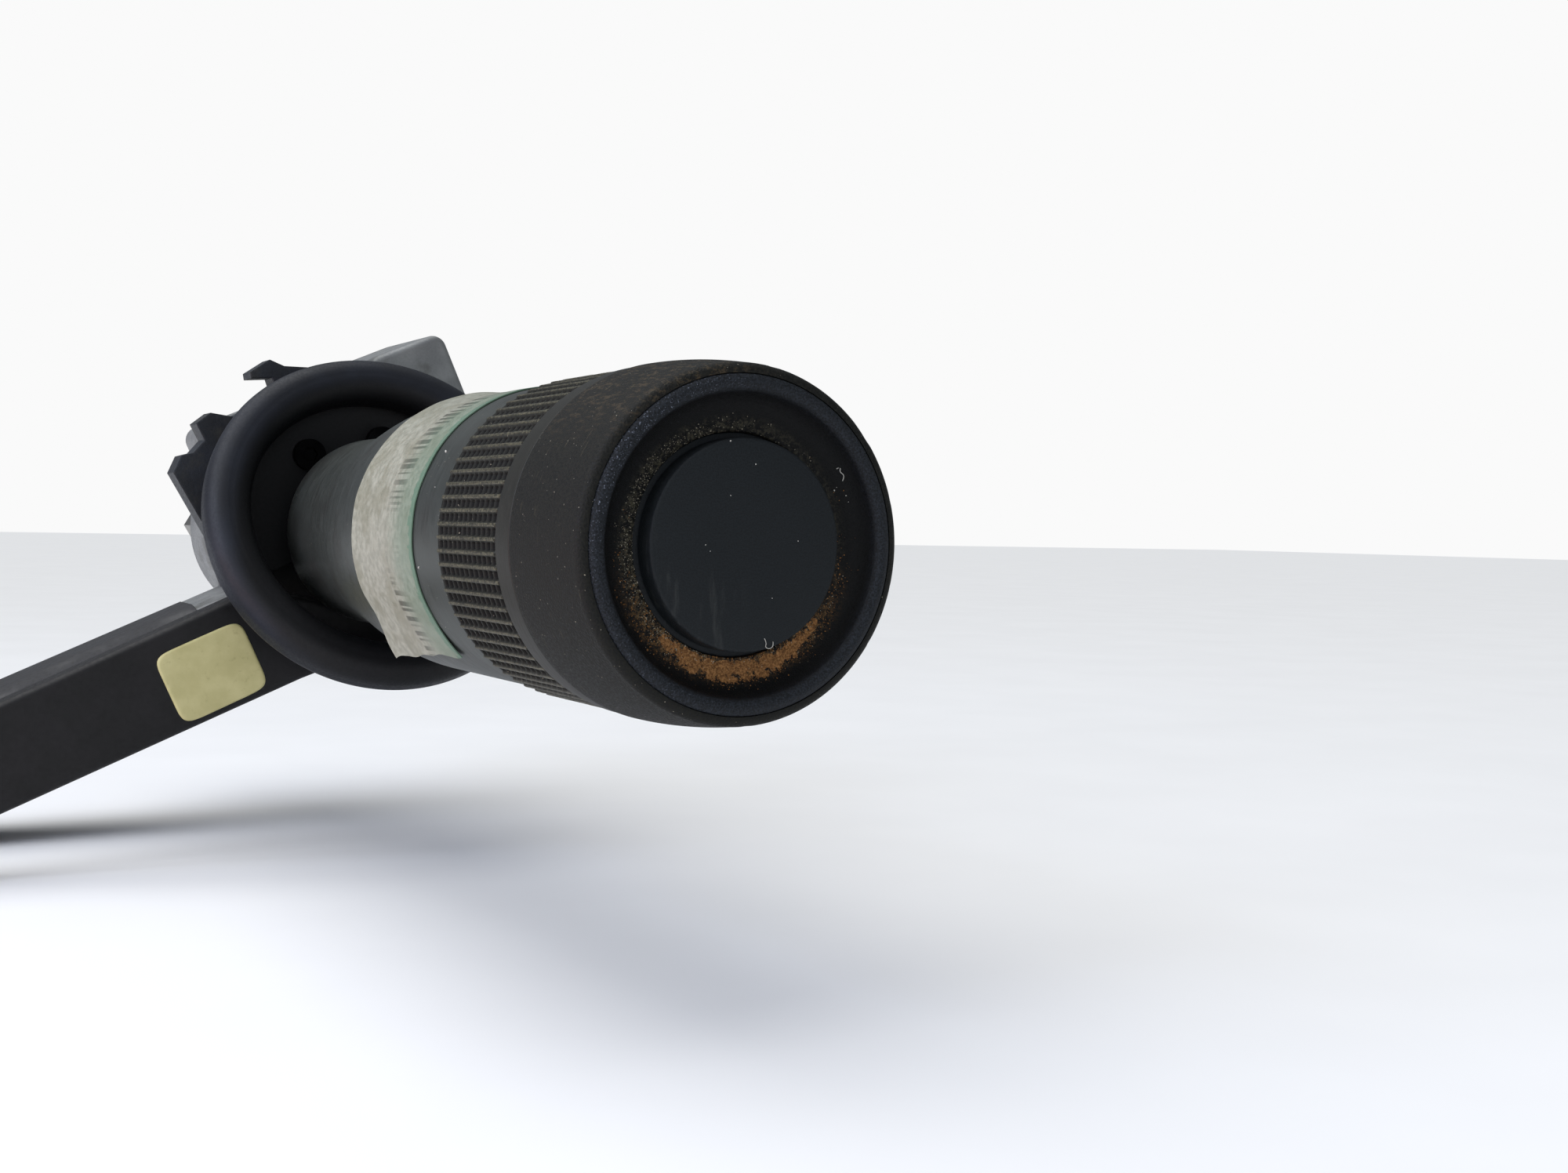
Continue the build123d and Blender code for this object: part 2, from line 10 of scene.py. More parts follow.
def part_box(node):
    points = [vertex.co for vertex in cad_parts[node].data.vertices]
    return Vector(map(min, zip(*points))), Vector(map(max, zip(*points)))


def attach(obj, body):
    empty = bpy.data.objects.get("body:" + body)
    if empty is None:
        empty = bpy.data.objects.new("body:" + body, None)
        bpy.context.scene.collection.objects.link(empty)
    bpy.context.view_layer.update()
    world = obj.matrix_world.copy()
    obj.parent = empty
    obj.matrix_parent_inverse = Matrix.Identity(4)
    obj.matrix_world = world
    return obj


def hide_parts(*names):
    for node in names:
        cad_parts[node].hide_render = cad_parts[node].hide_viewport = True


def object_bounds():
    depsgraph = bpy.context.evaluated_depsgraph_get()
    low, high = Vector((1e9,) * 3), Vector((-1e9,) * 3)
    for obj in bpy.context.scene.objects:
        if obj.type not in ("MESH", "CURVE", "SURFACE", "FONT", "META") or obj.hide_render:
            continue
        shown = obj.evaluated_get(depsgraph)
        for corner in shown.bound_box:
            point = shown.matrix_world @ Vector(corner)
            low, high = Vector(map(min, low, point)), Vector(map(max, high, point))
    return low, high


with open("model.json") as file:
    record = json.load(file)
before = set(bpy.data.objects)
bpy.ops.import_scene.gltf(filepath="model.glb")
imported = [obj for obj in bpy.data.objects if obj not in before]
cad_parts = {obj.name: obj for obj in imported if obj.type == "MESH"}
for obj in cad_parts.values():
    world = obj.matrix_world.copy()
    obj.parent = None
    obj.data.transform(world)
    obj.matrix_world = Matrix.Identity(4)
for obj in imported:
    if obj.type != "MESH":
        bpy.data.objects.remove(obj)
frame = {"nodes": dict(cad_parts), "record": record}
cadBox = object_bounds()
record = frame["record"]
slotOf = {part["node"]: part["material_slot"] for part in record["subparts"]}
mm = 0.001
random.seed(7)
print("frame loaded:", len(frame["nodes"]), "nodes")


def eased(share):  # 0 to 1 with a soft start and end
    return share * share * (3 - 2 * share)


def toLinear(hexCode):  # sRGB hex to the linear colour a shader wants
    parts = [int(hexCode[i:i + 2], 16) / 255 for i in (0, 2, 4)]
    return tuple(c / 12.92 if c <= 0.04045 else ((c + 0.055) / 1.055) ** 2.4 for c in parts) + (1.0,)


# settings are the node's own, inputs its sockets, as values or links
def addNode(tree, kind, settings=None, **inputs):
    node = tree.nodes.new("ShaderNode" + kind)
    for name, value in (settings or {}).items():
        setattr(node, name, value)
    for name, value in inputs.items():
        key = int(name[1:]) if name[0] == "i" and name[1:].isdigit() else name.replace("_", " ")
        if isinstance(value, bpy.types.NodeSocket):
            tree.links.new(value, node.inputs[key])
        else:
            node.inputs[key].default_value = value
    return node


def startMaterial(name, **settings):
    material = bpy.data.materials.new(name)
    material.use_nodes = True
    tree = material.node_tree
    tree.nodes.clear()
    shader = addNode(tree, "BsdfPrincipled", **settings)
    addNode(tree, "OutputMaterial", Surface=shader.outputs[0])
    return material, tree, shader


def place(tree, stretch=(1, 1, 1)):  # object coordinates in millimetres, stretched for a grain direction
    coords = addNode(tree, "TexCoord")
    scaled = addNode(tree, "Mapping", Vector=coords.outputs["Object"])
    scaled.inputs["Scale"].default_value = [1000 * s for s in stretch]
    return scaled.outputs[0]


rgba = {"data_type": "RGBA"}  # settings that many nodes share
smooth = {"interpolation_type": "SMOOTHSTEP"}
multiply = {"operation": "MULTIPLY"}


# cloudy mask, lumps about sizeMm wide
def patches(tree, where, sizeMm, detail, rough, low, high, start=0.0, end=1.0):
    cloud = addNode(tree, "TexNoise", Vector=where, Scale=1 / sizeMm, Detail=detail, Roughness=rough).outputs[0]
    return zone(tree, (cloud, low, high, start, end))


def zone(tree, *fades):  # mask where all the (pattern, low, high, start, end) fades are on together
    share = 1.0
    for pattern, low, high, *ends in fades:
        start, end = ends or (0.0, 1.0)
        step = addNode(tree, "MapRange", smooth, Value=pattern, From_Min=low, From_Max=high, To_Min=start,
                       To_Max=end)
        share = addNode(tree, "Math", multiply, i0=step.outputs[0], i1=share).outputs[0]
    return share


def fromAxis(tree, where):  # the three coordinates, and the distance from the bore axis
    axes = addNode(tree, "SeparateXYZ", Vector=where)
    flat = addNode(tree, "CombineXYZ", X=axes.outputs[0], Z=axes.outputs[2])
    return axes, addNode(tree, "VectorMath", {"operation": "LENGTH"}, i0=flat.outputs[0]).outputs[1]


def mottle(tree, pattern, low, high, dark, light):  # two hex colours mixed by a pattern
    share = zone(tree, (pattern, low, high))
    return addNode(tree, "Mix", rgba, i0=share, i6=toLinear(dark), i7=toLinear(light)).outputs[2]


def layOver(tree, tone, hexCode, mask, strength=1.0):  # lays one hex colour over a tone through a mask
    share = addNode(tree, "Math", multiply, i0=mask, i1=strength).outputs[0]
    return addNode(tree, "Mix", rgba, i0=share, i6=tone, i7=toLinear(hexCode)).outputs[2]


def relief(tree, shader, height, depthMm, strength=1.0, edgeMm=0.0):  # fine relief; edgeMm rounds hard edges
    node = addNode(tree, "Bump", Height=height, Distance=depthMm * mm, Strength=strength)
    if edgeMm:
        soft = addNode(tree, "Bevel", {"samples": 4}, Radius=edgeMm * mm)
        tree.links.new(soft.outputs[0], node.inputs["Normal"])
    tree.links.new(node.outputs[0], shader.inputs["Normal"])


def feed(tree, shader, **links):
    for name, value in links.items():
        tree.links.new(value, shader.inputs[name.replace("_", " ")])


def finishMesh(name, mesh, material, body, sharpDeg=35):
    for polygon in mesh.polygons:
        polygon.use_smooth = True
    mesh.set_sharp_from_angle(angle=math.radians(sharpDeg))
    piece = bpy.data.objects.new(name, mesh)
    bpy.context.scene.collection.objects.link(piece)
    piece.data.materials.append(material)
    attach(piece, body)
    return piece


def meshFrom(name, vertices, faces):
    mesh = bpy.data.meshes.new(name)
    mesh.from_pydata(vertices, [], faces)
    shell = bmesh.new()
    shell.from_mesh(mesh)
    bmesh.ops.remove_doubles(shell, verts=shell.verts, dist=1e-7)
    bmesh.ops.recalc_face_normals(shell, faces=shell.faces)
    shell.to_mesh(mesh)
    shell.free()
    return mesh


# outline of (radius, y) turned about Y; shape may move a point
def lathe(name, outline, segments=240, shape=None):
    rows = []
    for r, y in outline:
        row = []
        for s in range(segments):
            a = 2 * math.pi * s / segments
            spot = shape(r, y, a) if shape else (r * math.cos(a), y, r * math.sin(a))
            row.append(tuple(c * mm for c in spot))
        rows.append(row)
    vertices = [p for row in rows for p in row]
    faces = []
    count = len(rows)
    for i in range(count):
        j = (i + 1) % count
        for s in range(segments):
            t = (s + 1) % segments
            faces.append((i * segments + s, i * segments + t, j * segments + t, j * segments + s))
    return meshFrom(name, vertices, faces)


# where the eye stands, in millimetres, and the way it looks
camera = {"place": (-101.0, -180.2, 2.2), "forward": (0.507, 0.861, -0.034), "right": (0.862, -0.506, 0.020),
          "lensMm": 39.6, "sensorMm": 36.0, "nearM": 0.01, "farM": 20.0}
# name, place, target, size in metres, watts, colour
lamps = [("windowLeft", (-0.62, 0.02, 0.26), (0, 0.05, 0), (0.45, 0.5), 3.2, "dfe9ff"),
         ("roomFront", (-0.30, -0.80, 0.22), (0, 0.0, 0), (0.5, 0.4), 1.2, "eef0f4"),
         ("warmLow", (-0.30, 0.05, -0.045), (0, 0.07, -0.01), (0.30, 0.08), 0.18, "ff9a80")]
sky = {"glow": 0.30, "power": 2.1, "softDeg": 70, "tiltDeg": (-8, -18)}
floor = {"halfM": 6, "gapM": 0.0005}


def makeCamera():
    data = bpy.data.cameras.new("camera")
    data.sensor_width = camera["sensorMm"]
    data.lens = camera["lensMm"]
    data.clip_start, data.clip_end = camera["nearM"], camera["farM"]
    view = bpy.data.objects.new("camera", data)
    bpy.context.scene.collection.objects.link(view)
    forward = Vector(camera["forward"]).normalized()
    view.location = Vector(camera["place"]) * mm
    view.rotation_mode = "QUATERNION"
    right = Vector(camera["right"])
    right = (right - forward * right.dot(forward)).normalized()
    up = right.cross(forward)
    turn = Matrix((right, up, -forward)).transposed()
    view.rotation_quaternion = turn.to_quaternion()
    bpy.context.scene.camera = view


def areaLight(name, spot, target, size, power, colour):
    data = bpy.data.lights.new(name, "AREA")
    data.shape = "RECTANGLE"
    data.size, data.size_y = size
    data.energy = power
    data.color = toLinear(colour)[:3]
    light = bpy.data.objects.new(name, data)
    bpy.context.scene.collection.objects.link(light)
    light.location = spot
    light.rotation_mode = "QUATERNION"
    light.rotation_quaternion = (Vector(target) - Vector(spot)).to_track_quat("-Z", "Y")


def makeStudio():
    bpy.context.scene.view_settings.view_transform = "Standard"
    world = bpy.data.worlds.new("studio")
    bpy.context.scene.world = world
    world.use_nodes = True
    tree = world.node_tree
    tree.nodes.clear()
    seen = addNode(tree, "LightPath").outputs["Is Camera Ray"]
    glow = addNode(tree, "Background", Color=toLinear("dfe6ef"), Strength=sky["glow"])
    back = addNode(tree, "Background", Color=toLinear("fafafa"), Strength=1.0)
    both = addNode(tree, "MixShader", i0=seen, i1=glow.outputs[0], i2=back.outputs[0])
    addNode(tree, "OutputWorld", Surface=both.outputs[0])
    sun = bpy.data.lights.new("skylight", "SUN")
    sun.energy, sun.angle = sky["power"], math.radians(sky["softDeg"])
    lamp = bpy.data.objects.new("skylight", sun)
    bpy.context.scene.collection.objects.link(lamp)
    lamp.rotation_euler = (*[math.radians(t) for t in sky["tiltDeg"]], 0)
    for spec in lamps:
        areaLight(*spec)


def makeFloor():
    half, low = floor["halfM"], cadBox[0].z - floor["gapM"]
    mesh = meshFrom("floor", [(-half, -half, low), (half, -half, low), (half, half, low), (-half, half, low)],
                    [(0, 1, 2, 3)])
    sheet = bpy.data.objects.new("floor", mesh)
    bpy.context.scene.collection.objects.link(sheet)
    material, tree, shader = startMaterial("matt studio paper", Roughness=0.9)
    cloud = addNode(tree, "TexNoise", Vector=place(tree), Scale=1 / 40.0).outputs[0]
    tone = addNode(tree, "Mix", rgba, i0=cloud, i6=toLinear("f2f2f2"), i7=toLinear("f8f8f8")).outputs[2]
    feed(tree, shader, Base_Color=tone)
    sheet.data.materials.append(material)


# painted shade on the guard reaches in to this radius, millimetres
bowl = {"bowlShadeR": 27.5, "bowlShadeShare": 0.9}


# glass-filled nylon, spark-eroded skin: sandy matt black and scratched; patchy brown painted over the top and
# left side as the light falling there
def mouldedNylon():
    material, tree, shader = startMaterial("moulded nylon", IOR=1.50, Specular_IOR_Level=0.18)
    where = place(tree)
    pebble = addNode(tree, "TexNoise", Vector=where, Scale=1 / 0.30, Detail=3.0).outputs[0]
    tone = mottle(tree, pebble, 0.38, 0.66, "0c0d0b", "1b1b17")
    axes = addNode(tree, "SeparateXYZ", Vector=where)
    # painted light: patchy brown on the top and left side of the nose stands in for the light falling there
    overTop = zone(tree, (axes.outputs[2], 9.0, 20.0), (axes.outputs[0], 6.0, -5.0))
    topLightPatch = patches(tree, place(tree, (1.0, 0.45, 1.6)), 0.8, 8.0, 0.80, 0.50, 0.60)
    tone = layOver(tree, tone, "43392a", addNode(tree, "Math", multiply, i0=topLightPatch, i1=overTop).outputs[0], 0.75)
    scratch = patches(tree, place(tree, (0.22, 2.6, 0.10)), 0.7, 3.0, 0.5, 0.69, 0.75)
    tone = layOver(tree, tone, "57513f", scratch, 0.6)
    fleck = patches(tree, where, 0.22, 0.0, 0.5, 0.84, 0.88)
    tone = layOver(tree, tone, "a39c8c", fleck)
    feed(tree, shader, Base_Color=tone, Roughness=zone(tree, (pebble, 0.3, 0.7, 0.52, 0.76)))
    relief(tree, shader, pebble, 0.16, 0.75)
    return material


# cast polyurethane: sandy blue-black crest, channel wall painted near black as shade, grey dust film on the
# channel floor, pale glints painted on the crest's lit side
def castUrethane():
    material, tree, shader = startMaterial("cast urethane", IOR=1.47, Specular_IOR_Level=0.2)
    where = place(tree)
    sand = addNode(tree, "TexNoise", Vector=where, Scale=1 / 0.24, Detail=4.0, Roughness=0.6).outputs[0]
    axes, away = fromAxis(tree, where)
    crest = mottle(tree, sand, 0.38, 0.66, "0e1114", "272b31")
    # painted shade: the channel wall is coloured near black for the shade down in the recess
    wall = mottle(tree, sand, 0.42, 0.68, "040505", "0e0f11")
    tone = addNode(tree, "Mix", rgba, i0=zone(tree, (away, 18.1, 19.1)), i6=wall, i7=crest).outputs[2]
    film = zone(tree, (away, 16.2, 14.6), (axes.outputs[0], 16.0, -10.0, 0.35, 1.0))
    powder = patches(tree, where, 0.5, 7.0, 0.75, 0.45, 0.62)
    tone = layOver(tree, tone, "5a5646", addNode(tree, "Math", multiply, i0=film, i1=powder).outputs[0], 0.55)
    low = zone(tree, (axes.outputs[2], -1.0, -13.0))
    stain = addNode(tree, "Math", multiply, i0=low, i1=zone(tree, (away, 17.6, 15.2))).outputs[0]
    tone = layOver(tree, tone, "6b5130", addNode(tree, "Math", multiply, i0=stain, i1=powder).outputs[0], 0.8)
    # painted highlight: pale bluish glints on the outer crest, only on its left and upper side where the light
    # falls
    crestGlint = patches(tree, where, 0.20, 1.0, 0.5, 0.64, 0.72)
    lit = zone(tree, (axes.outputs[0], 4.0, -10.0), (axes.outputs[2], -6.0, 8.0, 0.3, 1.0))
    tone = layOver(tree, tone, "727885", addNode(tree, "Math", multiply, i0=crestGlint, i1=lit).outputs[0],
                   zone(tree, (away, 18.4, 19.2, 0.05, 0.8)))
    feed(tree, shader, Base_Color=tone, Roughness=zone(tree, (sand, 0.3, 0.7, 0.45, 0.70)))
    relief(tree, shader, sand, 0.16, 0.85)
    return material


def acetal():  # turned acetal copolymer: flat matt face; a pale smear pattern painted on its left and lower side as light
    material, tree, shader = startMaterial("acetal copolymer", IOR=1.48, Specular_IOR_Level=0.22)
    where = place(tree)
    fine = addNode(tree, "TexNoise", Vector=where, Scale=1 / 0.22, Detail=4.0).outputs[0]
    tone = mottle(tree, fine, 0.3, 0.7, "0d1114", "191e21")
    slant = addNode(tree, "Mapping", Vector=where)
    slant.inputs["Rotation"].default_value = (0, math.radians(32), 0)
    slant.inputs["Scale"].default_value = (0.9, 1.0, 0.16)
    sideLightSmear = patches(tree, slant.outputs[0], 1.5, 5.0, 0.6, 0.55, 0.72)
    axes = addNode(tree, "SeparateXYZ", Vector=where)
    # painted light: the pale smear pattern lies only on the left and lower side of the disc, where light falls
    side = zone(tree, (axes.outputs[0], 1.0, -5.0), (axes.outputs[2], 4.0, -2.0))
    tone = layOver(tree, tone, "3d3f3e", addNode(tree, "Math", multiply, i0=sideLightSmear, i1=side).outputs[0], 0.40)
    feed(tree, shader, Base_Color=tone, Roughness=zone(tree, (fine, 0.3, 0.7, 0.52, 0.68)))
    relief(tree, shader, fine, 0.08, 0.7)
    return material


def blackAnodise():  # hard anodised aluminium: thin olive-black oxide over a fine turned skin
    material, tree, shader = startMaterial("black anodised aluminium", Metallic=0.2, Specular_IOR_Level=0.28)
    rings = addNode(tree, "TexNoise", Vector=place(tree, (0.08, 1.0, 0.08)), Scale=1 / 0.20,
                    Detail=3.0).outputs[0]
    tone = mottle(tree, rings, 0.3, 0.7, "1c1c18", "272722")
    feed(tree, shader, Base_Color=tone, Roughness=zone(tree, (rings, 0.3, 0.7, 0.44, 0.56)))
    relief(tree, shader, addNode(tree, "TexNoise", Vector=place(tree), Scale=1 / 0.20, Detail=4.0).outputs[0],
           0.02, 0.4)
    return material


def knurledAnodise():  # the same oxide on the knurl: walls rubbed paler, pockets near black
    material, tree, shader = startMaterial("knurled anodised aluminium", Metallic=0.2, Specular_IOR_Level=0.22)
    where = place(tree)
    lift = addNode(tree, "Attribute", {"attribute_name": "lift"}).outputs["Fac"]
    rubbed = addNode(tree, "TexNoise", Vector=where, Scale=1 / 0.35, Detail=4.0, Roughness=0.65).outputs[0]
    tone = mottle(tree, lift, 0.15, 0.85, "080806", "22221c")
    crest = zone(tree, (lift, 0.80, 1.0), (rubbed, 0.40, 0.62))
    tone = layOver(tree, tone, "66624f", crest, 0.8)
    fleck = patches(tree, where, 0.25, 0.0, 0.5, 0.82, 0.86)
    tone = layOver(tree, tone, "9b9482", fleck, 0.7)
    feed(tree, shader, Base_Color=tone, Roughness=zone(tree, (lift, 0.0, 1.0, 0.75, 0.46)))
    relief(tree, shader, rubbed, 0.03, 0.4)
    return material


def satinAnodise():  # clear anodised tube, turned: fine rings, a soft metal sheen and greasy hand marks
    material, tree, shader = startMaterial("grey anodised tube", Metallic=0.75)
    rings = addNode(tree, "TexNoise", Vector=place(tree, (0.05, 1.0, 0.05)), Scale=1 / 0.22,
                    Detail=3.0).outputs[0]
    tone = mottle(tree, rings, 0.3, 0.7, "454946", "525653")
    smudge = patches(tree, place(tree), 9.0, 4.0, 0.5, 0.45, 0.70)
    tone = layOver(tree, tone, "3f3e3b", smudge, 0.55)
    fleck = patches(tree, place(tree), 0.30, 0.0, 0.5, 0.85, 0.88)
    tone = layOver(tree, tone, "bdb8a8", fleck)
    feed(tree, shader, Base_Color=tone, Roughness=zone(tree, (rings, 0.3, 0.7, 0.36, 0.50)))
    relief(tree, shader, rings, 0.01, 0.35)
    return material


# injection moulded polypropylene: smooth, waxy, blue-black; painted shade darkens it down in the bowl
def smoothPolypropylene():
    material, tree, shader = startMaterial("moulded polypropylene", IOR=1.45, Specular_IOR_Level=0.35)
    where = place(tree)
    fine = addNode(tree, "TexNoise", Vector=where, Scale=1 / 0.45, Detail=4.0).outputs[0]
    cloud = addNode(tree, "TexNoise", Vector=where, Scale=1 / 9.0, Detail=3.0).outputs[0]
    tone = mottle(tree, cloud, 0.3, 0.7, "11141b", "191d26")
    mark = patches(tree, place(tree, (0.4, 1.5, 1.0)), 2.4, 5.0, 0.62, 0.64, 0.80)
    tone = layOver(tree, tone, "343941", mark, 0.25)
    axes, away = fromAxis(tree, where)
    # painted shade: near black inside the bowl radius, standing in for the dark cavity
    bowlShade = addNode(tree, "Math", multiply, i0=zone(tree, (away, bowl["bowlShadeR"] + 3, bowl["bowlShadeR"])),
                   i1=bowl["bowlShadeShare"]).outputs[0]
    tone = layOver(tree, tone, "040405", bowlShade)
    feed(tree, shader, Base_Color=tone, Roughness=zone(tree, (fine, 0.3, 0.7, 0.46, 0.60)))
    relief(tree, shader, fine, 0.03, 0.35, 0.3)
    return material


# bead blasted die casting: dull, softly pitted, painted near black in the bowl as shade
def blastedCasting(name, dark, light, soiled, metal):
    material, tree, shader = startMaterial(name, Metallic=metal)
    where = place(tree)
    pits = addNode(tree, "TexNoise", Vector=where, Scale=1 / 0.45, Detail=4.0).outputs[0]
    cloud = addNode(tree, "TexNoise", Vector=where, Scale=1 / 6.0, Detail=3.0).outputs[0]
    tone = mottle(tree, cloud, 0.3, 0.7, dark, light)
    grime = patches(tree, where, 7.0, 5.0, 0.6, 0.48, 0.68)
    tone = layOver(tree, tone, soiled, grime, 0.6)
    axes, away = fromAxis(tree, where)
    # painted shade: near black where the casting meets the dark bowl
    castBowlShade = zone(tree, (away, 27.5, 25.5), (axes.outputs[1], 175.0, 170.0, 0.0, 0.95))
    tone = layOver(tree, tone, "040404", castBowlShade)
    feed(tree, shader, Base_Color=tone, Roughness=zone(tree, (pits, 0.3, 0.7, 0.46, 0.64)))
    relief(tree, shader, pits, 0.06, 0.55, 0.5)
    return material


def powderCoat():  # black powder coat on steel: low orange-peel ripple, a few bright nicks
    material, tree, shader = startMaterial("black powder coat", IOR=1.50, Specular_IOR_Level=0.3)
    where = place(tree)
    peel = addNode(tree, "TexNoise", Vector=where, Scale=1 / 0.9).outputs[0]
    cloud = addNode(tree, "TexNoise", Vector=where, Scale=1 / 8.0, Detail=3.0).outputs[0]
    tone = mottle(tree, cloud, 0.3, 0.7, "0b0b0c", "131214")
    nick = patches(tree, place(tree, (0.6, 1.0, 1.4)), 0.9, 4.0, 0.6, 0.74, 0.78)
    tone = layOver(tree, tone, "56565a", nick)
    feed(tree, shader, Base_Color=tone, Roughness=zone(tree, (peel, 0.3, 0.7, 0.42, 0.56)))
    relief(tree, shader, peel, 0.04, 0.4, 0.5)
    return material


def vinylTag():  # pale yellow vinyl over foam: soft, chalky, soiled in the creases
    material, tree, shader = startMaterial("yellow vinyl", IOR=1.50)
    where = place(tree)
    cloud = addNode(tree, "TexNoise", Vector=where, Scale=1 / 5.0, Detail=3.0).outputs[0]
    tone = mottle(tree, cloud, 0.3, 0.7, "b3ad78", "c3bd88")
    soil = patches(tree, where, 1.8, 6.0, 0.62, 0.56, 0.74)
    tone = layOver(tree, tone, "8b8052", soil, 0.5)
    feed(tree, shader, Base_Color=tone, Roughness=patches(tree, where, 0.5, 3.0, 0.5, 0.3, 0.7, 0.42, 0.62))
    relief(tree, shader, addNode(tree, "TexNoise", Vector=where, Scale=1 / 0.7, Detail=4.0).outputs[0], 0.04,
           0.45)
    return material


def texturedGrip():  # moulded grip: leather-like mould grain, palm-polished in patches
    material, tree, shader = startMaterial("textured grip moulding", IOR=1.49)
    where = place(tree)
    cells = addNode(tree, "TexVoronoi", Vector=where, Scale=1 / 0.9).outputs[0]
    polish = patches(tree, where, 9.0, 3.0, 0.5, 0.4, 0.65)
    tone = mottle(tree, cells, 0.1, 0.6, "141517", "1e1f22")
    feed(tree, shader, Base_Color=tone, Roughness=zone(tree, (polish, 0.0, 1.0, 0.66, 0.44)))
    relief(tree, shader, cells, 0.10, 0.5, 0.4)
    return material


# turned metal: tool rings round the bore axis, handling haze
def machinedMetal(name, dark, light, rough, toolMm):
    material, tree, shader = startMaterial(name, Metallic=1.0)
    rings = addNode(tree, "TexNoise", Vector=place(tree, (0.1, 1.0, 0.1)), Scale=1 / toolMm,
                    Detail=3.0).outputs[0]
    haze = addNode(tree, "TexNoise", Vector=place(tree), Scale=1 / 5.0, Detail=4.0).outputs[0]
    tone = mottle(tree, rings, 0.3, 0.7, dark, light)
    tone = layOver(tree, tone, dark, zone(tree, (haze, 0.45, 0.75, 0.0, 0.4)))
    feed(tree, shader, Base_Color=tone, Roughness=zone(tree, (haze, 0.3, 0.7, rough, rough + 0.16)))
    relief(tree, shader, rings, 0.01, 0.3, 0.2)
    return material


def nitrile():  # nitrile rubber: near black, dull, with a fine bloom
    material, tree, shader = startMaterial("nitrile rubber", IOR=1.52)
    bloom = addNode(tree, "TexNoise", Vector=place(tree), Scale=1 / 0.8, Detail=4.0).outputs[0]
    tone = mottle(tree, bloom, 0.4, 0.8, "121212", "1d1d1c")
    feed(tree, shader, Base_Color=tone, Roughness=zone(tree, (bloom, 0.3, 0.7, 0.55, 0.75)))
    relief(tree, shader, bloom, 0.02, 0.3)
    return material


finishes = {
    "nose_plastic": mouldedNylon(),
    "face_rubber": castUrethane(),
    "poppet_plastic": acetal(),
    "lip_metal": blackAnodise(),
    "collar_metal": knurledAnodise(),
    "barrel_metal": satinAnodise(),
    "guard_plastic": smoothPolypropylene(),
    "cast_metal": blastedCasting("blasted aluminium casting", "787a7a", "8c8e8d", "55554f", 0.55),
    "lug_metal": blastedCasting("dark lacquered casting", "12161c", "1c2129", "35342e", 0.10),
    "lever_metal": powderCoat(),
    "tag_plastic": vinylTag(),
    "grip_plastic": texturedGrip(),
    "nose_metal": machinedMetal("turned aluminium", "8c8e8f", "a3a5a6", 0.28, 0.30),
    "brass": machinedMetal("turned brass", "97763a", "b3914e", 0.24, 0.25),
    "bright_steel": machinedMetal("zinc plated steel", "7f8184", "999b9e", 0.28, 0.25),
    "spring_steel": machinedMetal("spring wire", "6a6b6e", "7d7e81", 0.32, 0.20),
    "swivel_metal": machinedMetal("nickel plated steel", "7c7a76", "938f8a", 0.26, 0.35),
    "seal_rubber": nitrile(),
}
# painted shade: the cowl screws are coloured near black so they sit dark in the shaded cavity
nodeFinishes = {"cowl_screws": machinedMetal("steel painted dark as cavity shade", "0b0b0c", "151516", 0.42, 0.30)}
print("materials made:", len(finishes))


def dressCad():  # every CAD node that stays gets its slot's finish
    for node, piece in frame["nodes"].items():
        finish = nodeFinishes.get(node) or finishes.get(slotOf[node])
        if finish is None:
            continue
        piece.data.materials.clear()
        piece.data.materials.append(finish)
        for polygon in piece.data.polygons:
            polygon.material_index = 0


# knurled collar: pockets between round ridges and lower cross ribs, millimetres
collar = {"ridges": 78, "ribs": 12, "pocketMm": 0.75, "wallMm": 0.26, "ribMm": 0.20, "slopeMm": 0.26,
          "ribShare": 0.52, "rimMm": 0.45, "aroundSteps": 10, "alongSteps": 8}


def wallShare(phase, pitchMm, halfMm):  # 1 on a wall centred on phase 0, 0 in the pocket beside it
    away = min(phase, 1 - phase) * pitchMm
    return eased(1 - min(1.0, max(0.0, (away - halfMm) / collar["slopeMm"])))


